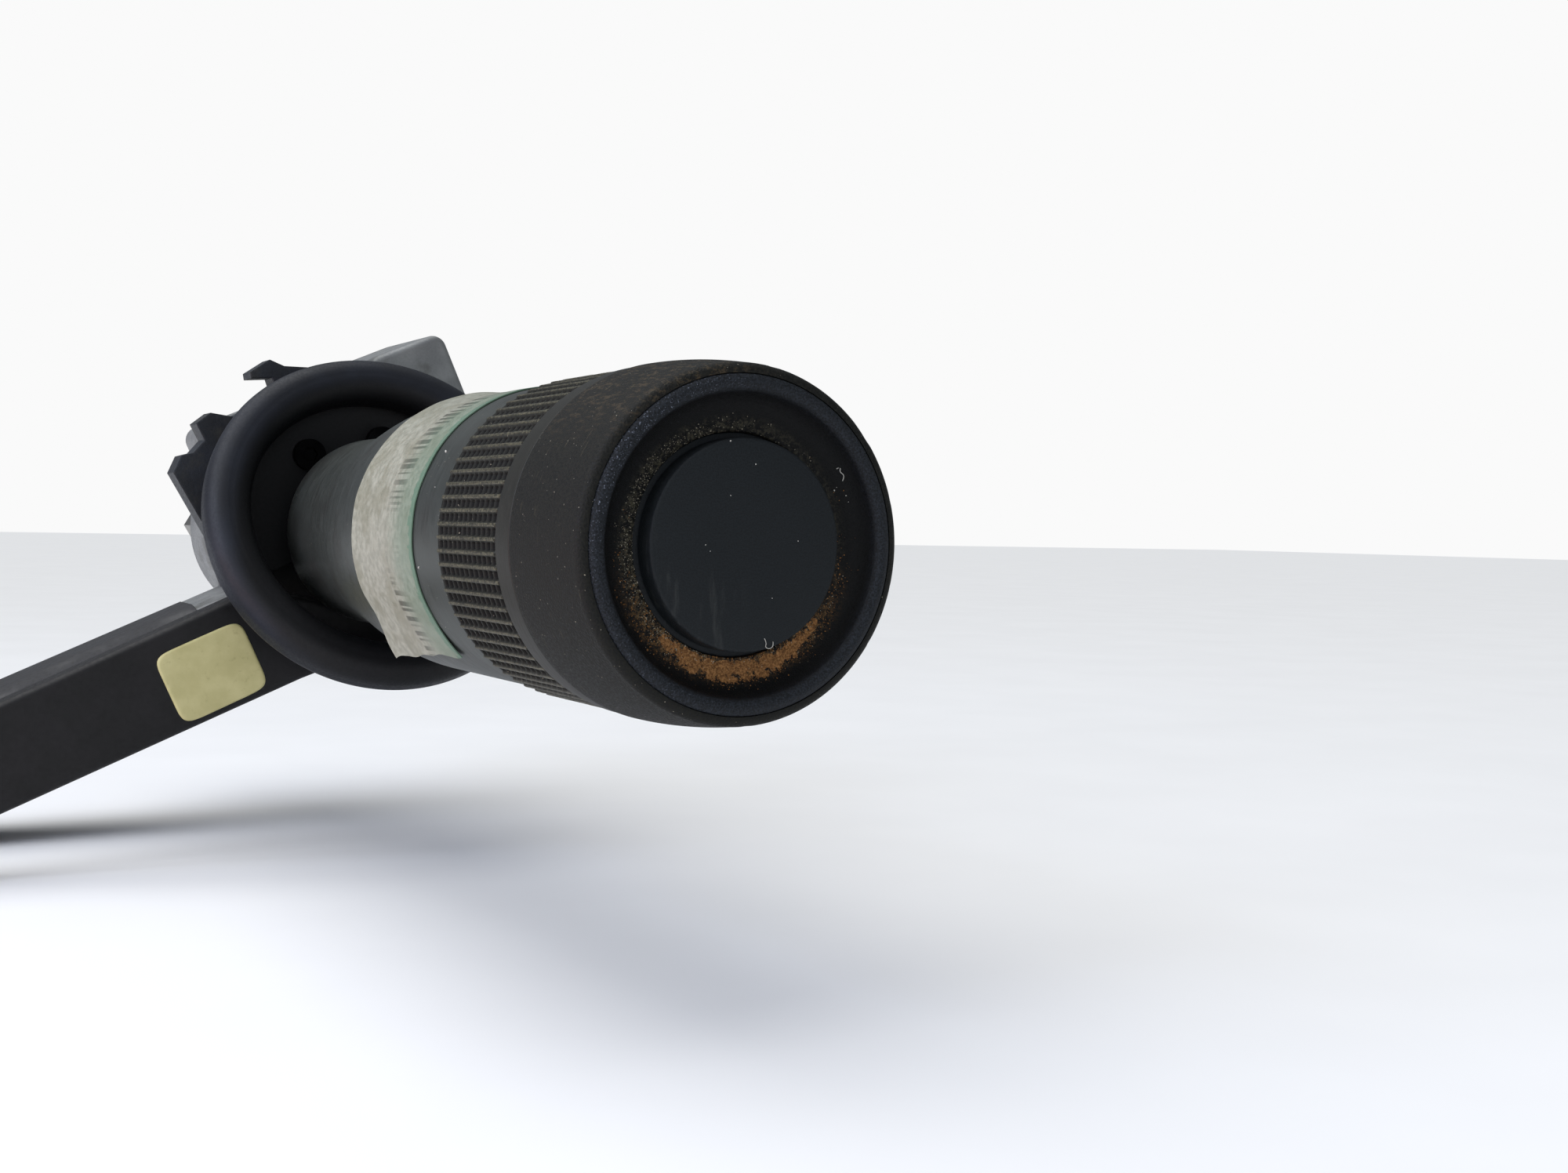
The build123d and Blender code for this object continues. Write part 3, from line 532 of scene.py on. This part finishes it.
def makeCollar():
    low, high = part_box("knurled_collar")
    outer, start, end = high.x / mm, low.y / mm, high.y / mm
    inner, rim, ribs = outer - 3.4, collar["rimMm"], collar["ribs"]
    around = collar["ridges"] * collar["aroundSteps"]
    ridgePitch = 2 * math.pi * outer / collar["ridges"]
    length = end - start - 2 * rim
    ribPitch = length / ribs
    rows = [(start + 0.1, inner, 0, None), (start, inner + 0.2, 0, None), (start, outer - 0.95, 0, None),
            (start + 0.08, outer - 0.8, 0, None)]
    for step in range(ribs * collar["alongSteps"] + 1):
        share = step / (ribs * collar["alongSteps"])
        rows.append((start + rim + share * length, outer, 1, share * ribs % 1.0))
    rows += [(end - 0.08, outer - 0.35, 0, None), (end, outer - 0.5, 0, None), (end, inner + 0.2, 0, None),
             (end - 0.1, inner, 0, None)]
    vertices, lifts, faces = [], [], []
    for y, radius, patterned, along in rows:
        for k in range(around):
            a = 2 * math.pi * k / around
            r, lift = radius, 0.3
            if patterned:
                wall = wallShare(k / collar["aroundSteps"] % 1.0, ridgePitch, collar["wallMm"])
                rib = wallShare(along, ribPitch, collar["ribMm"]) * collar["ribShare"]
                lift = max(wall, rib)
                r -= collar["pocketMm"] * (1 - lift)
                r -= 0.07 * lift * (0.5 + 0.5 * noise.noise(Vector((math.cos(a) * 30, y * 1.3,
                        math.sin(a) * 30))))
            vertices.append((r * math.cos(a) * mm, y * mm, r * math.sin(a) * mm))
            lifts.append(lift)
    for i in range(len(rows)):
        j = (i + 1) % len(rows)
        for k in range(around):
            n = (k + 1) % around
            faces.append((i * around + k, i * around + n, j * around + n, j * around + k))
    mesh = meshFrom("knurledCollar", vertices, faces)
    mesh.attributes.new("lift", "FLOAT", "POINT").data.foreach_set("value", lifts)
    piece = finishMesh("knurledCollar", mesh, finishes["collar_metal"], "collar", 60)
    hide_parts("knurled_collar")


# wrap label: thickness, where it ends in degrees, and how far it lifts
label = {"thicknessMm": 0.16, "endAt": 230.0, "sweep": 300.0, "nearShiftMm": 1.2, "farShiftMm": 2.0,
         "liftMm": 0.9, "cornerLiftMm": 2.6, "borderMm": 1.3}


def labelPaper(near, far):  # coated label paper: off-white, green border worn through, ghost of faded print
    material, tree, shader = startMaterial("coated label paper", IOR=1.40)
    where = place(tree)
    axes = addNode(tree, "SeparateXYZ", Vector=where)
    along = axes.outputs[1]
    turn = addNode(tree, "Math", {"operation": "ARCTAN2"}, i0=axes.outputs[2], i1=axes.outputs[0]).outputs[0]
    fibre = addNode(tree, "TexNoise", Vector=where, Scale=1 / 1.0, Detail=5.0).outputs[0]
    tone = mottle(tree, fibre, 0.3, 0.7, "838375", "9b9b8d")
    stain = patches(tree, where, 5.0, 5.0, 0.5, 0.42, 0.66)
    tone = layOver(tree, tone, "74725f", stain, 0.5)
    rows = zone(tree, (along, near + 5.5, near + 6.5), (along, near + 13.0, near + 12.0))
    bars = addNode(tree, "TexNoise", {"noise_dimensions": "1D"}, W=turn, Scale=26.0, Detail=0.0).outputs[0]
    worn = patches(tree, where, 14.0, 1.0, 0.5, 0.36, 0.56)
    ghost = addNode(tree, "Math", multiply, i0=addNode(tree, "Math", multiply,
            i0=zone(tree, (bars, 0.47, 0.55)), i1=rows).outputs[0], i1=worn).outputs[0]
    tone = layOver(tree, tone, "46453b", ghost, 0.85)
    ragged = addNode(tree, "Math", {"operation": "ADD"}, i0=along,
                     i1=patches(tree, where, 1.4, 4.0, 0.5, 0.3, 0.7, -0.7, 0.7)).outputs[0]
    edge = zone(tree, (ragged, near + label["borderMm"], near + label["borderMm"] + 0.7, 1.0, 0.0))
    wash = zone(tree, (ragged, near + 4.0, near + 13.0, 0.45, 0.0))
    tint = addNode(tree, "Math", {"operation": "MAXIMUM"},
                   i0=addNode(tree, "Math", multiply, i0=edge, i1=0.85).outputs[0], i1=wash).outputs[0]
    tone = layOver(tree, tone, "4f6f5b", tint)
    feed(tree, shader, Base_Color=tone, Roughness=zone(tree, (fibre, 0.3, 0.7, 0.42, 0.60)))
    relief(tree, shader, fibre, 0.04, 0.35)
    return material


def makeLabel():
    low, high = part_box("wrap_label")
    inner = high.x / mm - 0.22
    near, far = low.y / mm + label["nearShiftMm"], high.y / mm + label["farShiftMm"]
    across, around = 36, 300
    vertices, faces = [], []
    for side in (0, 1):
        for i in range(across + 1):
            v = i / across
            for k in range(around + 1):
                u = k / around  # 0 at the loose end, 1 at the stuck end
                a = math.radians(label["endAt"] - label["sweep"] * u)
                edgeLift = label["liftMm"] * max(0.0, (v - 0.55) / 0.45) ** 2
                edgeLift *= 0.55 + 0.45 * noise.noise(Vector((u * 9, 0.5, 2.0)))
                endLift = label["cornerLiftMm"] * max(0.0, 1 - u / 0.07) ** 2 * (0.15 + 0.85 * v ** 1.5)
                ripple = 0.10 * noise.noise(Vector((u * 26, v * 4, 0.0))) * (0.3 + v)
                r = inner + 0.05 + label["thicknessMm"] * side + edgeLift + endLift + ripple
                y = near + (far - near) * v + 0.25 * noise.noise(Vector((u * 22, 3.0, v)))
                y -= 1.6 * max(0.0, 1 - u / 0.02) ** 2 * max(0.0, v - 0.8) / 0.2  # rounded loose corner
                a += 0.03 * noise.noise(Vector((v * 5, 7.0, 1.0))) * max(0.0, 1 - u / 0.05)
                vertices.append((r * math.cos(a) * mm, y * mm, r * math.sin(a) * mm))
    width = around + 1
    layer = (across + 1) * width
    for i in range(across):
        for k in range(around):
            base = i * width + k
            faces.append((base, base + width, base + width + 1, base + 1))
            faces.append((base + layer, base + layer + 1, base + layer + width + 1, base + layer + width))
    for k in range(around):
        for row in (0, across):
            a = row * width + k
            faces.append((a, a + 1, a + 1 + layer, a + layer))
    for i in range(across):
        for k in (0, around):
            a = i * width + k
            faces.append((a, a + width, a + width + layer, a + layer))
    piece = finishMesh("wrapLabel", meshFrom("wrapLabel", vertices, faces), labelPaper(near, far), "frame",
                       60)
    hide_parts("wrap_label")


# nose sleeve: radii and the lip, millimetres
nose = {"frontR": 22.0, "lipY": 1.8, "seatR": 20.65, "wallR": 20.15, "backR": 23.2, "segments": 360}


def arc(start, middle, end, steps):  # points along the circle through three (radius, y) points
    (ax, ay), (bx, by), (cx, cy) = start, middle, end
    d = 2 * (ax * (by - cy) + bx * (cy - ay) + cx * (ay - by))
    aa, bb, cc = ax * ax + ay * ay, bx * bx + by * by, cx * cx + cy * cy
    ux = (aa * (by - cy) + bb * (cy - ay) + cc * (ay - by)) / d
    uy = (aa * (cx - bx) + bb * (ax - cx) + cc * (bx - ax)) / d
    radius = math.hypot(ax - ux, ay - uy)
    first, mid, last = (math.atan2(y - uy, x - ux) for x, y in (start, middle, end))
    turn = (last - first) % (2 * math.pi)
    if (mid - first) % (2 * math.pi) > turn:
        turn -= 2 * math.pi
    return [(ux + radius * math.cos(first + turn * t / steps), uy + radius * math.sin(first + turn * t / steps))
            for t in range(steps + 1)]


def makeNose():
    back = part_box("nose_sleeve")[1].y / mm
    lipEnd = (nose["frontR"], nose["lipY"])
    outline = [(nose["wallR"], back), (nose["wallR"], 7.0), (nose["seatR"], 7.0)]
    outline += arc((nose["seatR"] + 0.02, 0.42), (21.6, 0.75), lipEnd, 10)
    outline += arc(lipEnd, (22.85, 9.5), (nose["backR"], back - 0.3), 22)[1:]
    outline += [(nose["backR"] - 0.15, back - 0.10), (nose["backR"] - 0.75, back)]

    def dented(r, y, a):  # small knocks where the lip has hit other metal
        hit = max(0.0, noise.noise(Vector((math.cos(a) * 9, y * 0.5, math.sin(a) * 9))) - 0.35)
        depth = 0.25 * hit * max(0.0, 1 - abs(y - 1.2) / 2.5) if r > nose["seatR"] + 0.4 else 0.0
        return (r - depth) * math.cos(a), y, (r - depth) * math.sin(a)

    piece = finishMesh("noseSleeve", lathe("noseSleeve", outline, nose["segments"], dented),
                       finishes["nose_plastic"], "frame", 45)
    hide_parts("nose_sleeve")


# face ring and poppet: profile points are (radius, y), millimetres
faceRing = {"seat": [(20.62, 7.0), (13.7, 7.0)],
            "channel": [(13.7, 3.45), (13.8, 3.25), (14.0, 3.2), (15.5, 3.2)],
            "wall": ((15.8, 3.15), (17.6, 2.35), (18.5, 0.60)),
            "crest": ((18.6, 0.48), (19.6, 0.0), (20.45, 0.34)),
            "rim": [(20.58, 0.5), (20.62, 0.8)]}
poppet = {"face": [(0.02, 0.22), (6.0, 0.22), (12.5, 0.22), (12.72, 0.27), (12.86, 0.40), (12.9, 0.6),
                   (12.9, 3.6)],
          "sealGroove": [(13.5, 3.6), (13.62, 3.7), (13.62, 4.3), (11.9, 4.3), (11.9, 6.1), (13.62, 6.1),
                         (13.62, 6.7), (13.5, 6.8)],
          "stem": [(3.3, 6.8), (3.0, 7.1), (3.0, 33.2), (2.4, 33.2), (2.4, 34.4), (3.0, 34.4)]}


def makeFaceRing():
    outline = faceRing["seat"] + faceRing["channel"] + arc(*faceRing["wall"], 14)
    outline += arc(*faceRing["crest"], 10) + faceRing["rim"]
    piece = finishMesh("faceRing", lathe("faceRing", outline, nose["segments"]), finishes["face_rubber"],
                       "frame", 50)
    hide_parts("face_ring")


def makePoppet():
    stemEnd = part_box("poppet")[1].y / mm
    outline = poppet["face"] + poppet["sealGroove"] + poppet["stem"]
    outline += [(3.0, stemEnd - 0.4), (2.6, stemEnd), (0.02, stemEnd)]
    piece = finishMesh("poppetDisc", lathe("poppetDisc", outline, 200), finishes["poppet_plastic"], "poppet",
                       40)
    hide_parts("poppet")


def makeLipRing():
    low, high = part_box("lip_ring")
    outer, front, back = high.x / mm, low.y / mm, high.y / mm
    outline = [(20.15, front), (outer - 0.5, front)]
    outline += arc((outer - 0.45, front + 0.01), (outer - 0.12, front + 0.14), (outer, front + 0.48), 5)
    outline += arc((outer, back - 0.48), (outer - 0.12, back - 0.14), (outer - 0.45, back - 0.01), 5)
    outline += [(outer - 0.5, back), (20.15, back)]
    piece = finishMesh("lipRing", lathe("lipRing", outline, 300), finishes["lip_metal"], "frame",
                       40)
    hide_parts("lip_ring")


# dust lies between two angles at the foot of the channel; lint lies at (x, y, z), millimetres
dust = {"from": 218.0, "to": 330.0, "innerR": 13.7, "outerR": 17.2, "floorY": 3.2, "deepMm": 0.36, "tan": 2600,
        "grit": 1500}
discSpots = [(-2.53, 12.4), (0.96, 9.75), (-2.38, 5.91), (-5.63, 0.0), (-4.99, -0.74), (7.1, 0.62),
             (3.61, -6.35)]
flaws = {"lintWall": [(14.0, 2.75, 9.7), (14.5, 2.55, 10.0), (14.3, 2.5, 9.3), (15.0, 2.3, 8.9),
                      (14.7, 2.4, 8.2)],
         "lintDisc": [(2.6, 0.16, -11.2), (2.9, 0.12, -11.7), (2.7, 0.1, -12.3), (3.4, 0.12, -12.5),
                      (3.9, 0.14, -12.1), (3.8, 0.16, -11.6)]}


def roadDust(name, dark, light):  # dry road dust: open and crumbly, no shine
    material, tree, shader = startMaterial(name, Specular_IOR_Level=0.2)
    crumb = addNode(tree, "TexNoise", Vector=place(tree), Scale=1 / 0.28, Detail=5.0, Roughness=0.7).outputs[0]
    tone = mottle(tree, crumb, 0.35, 0.68, dark, light)
    feed(tree, shader, Base_Color=tone, Roughness=zone(tree, (crumb, 0.3, 0.7, 0.85, 0.98)))
    relief(tree, shader, crumb, 0.20, 0.8)
    return material


def channelY(r):  # front surface of the channel floor and its rising wall
    if r < 15.8:
        return dust["floorY"]
    return dust["floorY"] - 0.16 * (r - 15.8) - 0.30 * (r - 15.8) ** 2


def makeDustBed(ochre):  # caked crescent at the foot of the channel, ragged where it thins out
    across, around = 34, 420
    vertices, faces = [], []
    heights = []
    for i in range(across + 1):
        r = dust["innerR"] + (dust["outerR"] - dust["innerR"]) * i / across
        for k in range(around + 1):
            share = k / around
            a = math.radians(dust["from"] + (dust["to"] - dust["from"]) * share)
            spread = math.sin(math.pi * share) ** 0.7
            middle = 0.30 + 0.18 * math.sin(math.pi * share)
            heap = spread * max(0.0, 1 - abs(i / across - middle) / 0.55)
            spot = Vector((math.cos(a) * r, 1.0, math.sin(a) * r))
            rough = noise.noise(spot * 0.8) * 0.9 + noise.noise(spot * 2.1) * 0.6
            rough += noise.noise(spot * 5.0) * 0.35
            height = dust["deepMm"] * (heap * (1.0 + rough) - 0.42)
            heights.append(height)
            vertices.append((r * math.cos(a) * mm, (channelY(r) - max(height, 0.004)) * mm,
                             r * math.sin(a) * mm))
    width = around + 1
    for i in range(across):
        for k in range(around):
            a = i * width + k
            ring = (a, a + 1, a + 1 + width, a + width)
            if max(heights[n] for n in ring) > 0.0:
                faces.append(ring)
    bed = meshFrom("dustBed", vertices, faces)
    shell = bmesh.new()
    shell.from_mesh(bed)
    bmesh.ops.delete(shell, geom=[v for v in shell.verts if not v.link_faces], context="VERTS")
    shell.to_mesh(bed)
    shell.free()
    finishMesh("dustBed", bed, ochre, "frame", 60)


def scatterGrains(name, spots, material, body):  # loose crumbs at (x, y, z, size), millimetres
    crumbs = bmesh.new()
    for x, y, z, size in spots:
        spin = Matrix.Rotation(random.uniform(0, 6.28), 4,
                               Vector((random.random(), random.random(), 1)).normalized())
        shape = Matrix.Diagonal((size * mm, size * random.uniform(0.5, 0.9) * mm,
                                 size * random.uniform(0.6, 1.3) * mm, 1))
        move = Matrix.Translation(Vector((x, y, z)) * mm)
        bmesh.ops.create_icosphere(crumbs, subdivisions=1, radius=1.0, matrix=move @ spin @ shape)
    mesh = bpy.data.meshes.new(name)
    crumbs.to_mesh(mesh)
    crumbs.free()
    finishMesh(name, mesh, material, body, 60)


def channelSpots(count, middleDeg, spreadDeg, middleR, spreadR, small, large):
    spots = []
    for _ in range(count):
        a = math.radians(random.gauss(middleDeg, spreadDeg))
        r = min(18.4, max(13.8, random.gauss(middleR, spreadR)))
        size = small + (large - small) * random.random() ** 3
        spots.append((r * math.cos(a), channelY(r) - 0.3 * size, r * math.sin(a), size))
    return spots


def makeDust():
    ochre = roadDust("road dust", "5a3c22", "a3774a")
    grit = roadDust("pale grit", "6b665a", "b3ac9a")
    makeDustBed(ochre)
    middle = (dust["from"] + dust["to"]) / 2
    scatterGrains("dustGrains", channelSpots(dust["tan"], middle, 36, 15.3, 0.85, 0.03, 0.13), ochre, "frame")
    scatterGrains("gritGrains", channelSpots(dust["grit"], 185, 62, 14.5, 0.65, 0.02, 0.10), grit, "frame")
    scatterGrains("gritOnDust", channelSpots(260, middle, 34, 15.2, 0.9, 0.03, 0.08), grit, "frame")


def lintFibre():  # cotton lint: pale and matt
    material, tree, shader = startMaterial("cotton lint", Roughness=0.9)
    weave = addNode(tree, "TexNoise", Vector=place(tree), Scale=1 / 0.15, Detail=3.0).outputs[0]
    tone = addNode(tree, "Mix", rgba, i0=weave, i6=toLinear("96958f"), i7=toLinear("d0cec6")).outputs[2]
    feed(tree, shader, Base_Color=tone)
    return material


def strand(name, thicknessMm, body, material):  # one strand of lint
    curve = bpy.data.curves.new(name, "CURVE")
    curve.dimensions = "3D"
    curve.bevel_depth = thicknessMm * mm
    curve.bevel_resolution = 2
    points = flaws[name]
    spline = curve.splines.new("NURBS")
    spline.points.add(len(points) - 1)
    for point, spot in zip(spline.points, points):
        point.co = (*[c * mm for c in spot], 1.0)
    spline.order_u = 3
    spline.use_endpoint_u = True
    shape = bpy.data.objects.new(name + "Line", curve)
    bpy.context.scene.collection.objects.link(shape)
    mesh = bpy.data.meshes.new_from_object(shape.evaluated_get(bpy.context.evaluated_depsgraph_get()))
    bpy.data.objects.remove(shape)
    mesh.materials.clear()
    finishMesh(name, mesh, material, body, 60)


def makeLint():
    pale = lintFibre()
    barrelSpots = [(22.28 * math.cos(math.radians(t)), y, 22.28 * math.sin(math.radians(t)), size)
                   for t, y, size in ((147.5, 54.0, 0.24), (191.5, 56.0, 0.20), (162.0, 51.5, 0.10))]
    scatterGrains("barrelSpecks", barrelSpots, pale, "frame")
    strand("lintWall", 0.055, "frame", pale)
    strand("lintDisc", 0.04, "poppet", pale)
    scatterGrains("discSpecks", [(x, 0.2, z, random.uniform(0.07, 0.12)) for x, z in discSpots], pale, "poppet")
    scatterGrains("wallSpecks", [(13.9, 3.0, 7.0, 0.12), (15.6, 2.9, 6.4, 0.10), (14.3, 3.1, 7.4, 0.07),
                                 (15.9, 2.8, 5.6, 0.06)], pale, "frame")


# barrel: profile points are (radius, y), millimetres
barrel = {"bore": [(14.5, 39.0), (14.5, 62.0), (11.0, 66.0), (11.0, 138.0), (6.5, 142.0)],
          "tail": [(9.0, 145.5), (16.8, 145.5)], "tailEdge": ((17.2, 145.3), (17.5, 145.0), (17.6, 144.6)),
          "waistR": 17.6, "waistY": 134.0, "taperY": 132.0, "taperMm": 46.0, "taperSteps": 20,
          "shoulderY": 70.0,
          "spigot": [(17.5, 39.0)], "spigotR": (19.4, 17.5), "collarGap": 0.15}


def makeBarrel():
    low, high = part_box("barrel")
    outer, front, back = high.x / mm, low.y / mm, high.y / mm
    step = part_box("knurled_collar")[1].y / mm + barrel["collarGap"]
    outline = barrel["bore"] + [(6.5, back), (8.7, back), (9.0, back - 0.3)] + barrel["tail"]
    outline += arc(*barrel["tailEdge"], 4)
    outline += [(barrel["waistR"], barrel["waistY"])]
    for t in range(barrel["taperSteps"] + 1):  # eased taper from the waist up to the full barrel
        share = t / barrel["taperSteps"]
        outline.append((barrel["waistR"] + (outer - barrel["waistR"]) * eased(share),
                        barrel["taperY"] - barrel["taperMm"] * share))
    outline += [(outer, barrel["shoulderY"]), (outer, step + 0.45)]
    outline += arc((outer - 0.03, step + 0.3), (outer - 0.12, step + 0.12), (outer - 0.3, step + 0.02), 4)
    outer, inner = barrel["spigotR"]
    outline += [(outer, step), (outer, front), (inner, front)] + barrel["spigot"]
    piece = finishMesh("barrelTube", lathe("barrelTube", outline, 300), finishes["barrel_metal"], "frame",
                       40)
    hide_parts("barrel")


# lever tag: a padded rounded square, millimetres
tag = {"rollDeg": -24, "halfLong": 8.5, "halfWide": 6.9, "thick": 0.45, "squareness": 0.28, "rings": 7,
       "around": 72, "liftMm": 0.2, "rimScale": 0.90, "waveMm": 0.06}


def makeTag():
    low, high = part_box("lever_tag")
    centre = (low + high) / 2
    roll = Matrix.Rotation(math.radians(tag["rollDeg"]), 3, "Y")
    rings, count, squareness = tag["rings"], tag["around"], tag["squareness"]
    outlinePoints = []
    for k in range(count):
        a = 2 * math.pi * k / count
        c, s = math.cos(a), math.sin(a)
        x = math.copysign(abs(c) ** squareness, c) * tag["halfLong"]
        z = math.copysign(abs(s) ** squareness, s) * tag["halfWide"]
        outlinePoints.append((x, z))
    vertices, faces = [], []
    for i in range(rings):
        share = i / (rings - 1)
        scale = 1 - 0.08 * share ** 2 if i < rings - 1 else tag["rimScale"]
        rise = tag["thick"] * math.sin(math.pi / 2 * min(1.0, share * 1.1))
        for x, z in outlinePoints:
            wave = tag["waveMm"] * noise.noise(Vector((x * 0.4, 1.0, z * 0.4))) * share
            spot = roll @ Vector((x * scale, 0.0, z * scale))
            vertices.append((centre + Vector((spot.x, tag["liftMm"] - rise - wave, spot.z)) * mm)[:])
    for i in range(rings - 1):
        for k in range(count):
            n = (k + 1) % count
            faces.append((i * count + k, i * count + n, (i + 1) * count + n, (i + 1) * count + k))
    faces.append(tuple(range((rings - 1) * count, rings * count)))
    faces.append(tuple(reversed(range(count))))
    piece = finishMesh("leverTag", meshFrom("leverTag", vertices, faces), finishes["tag_plastic"], "lever",
                       50)
    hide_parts("lever_tag")


makeCamera()
makeStudio()
makeFloor()
dressCad()
makeNose()
makeFaceRing()
makePoppet()
makeLipRing()
print("nose made")
makeDust()
makeLint()
print("dust and lint made")
makeCollar()
makeBarrel()
makeLabel()
makeTag()
print("barrel, collar, label and tag made")
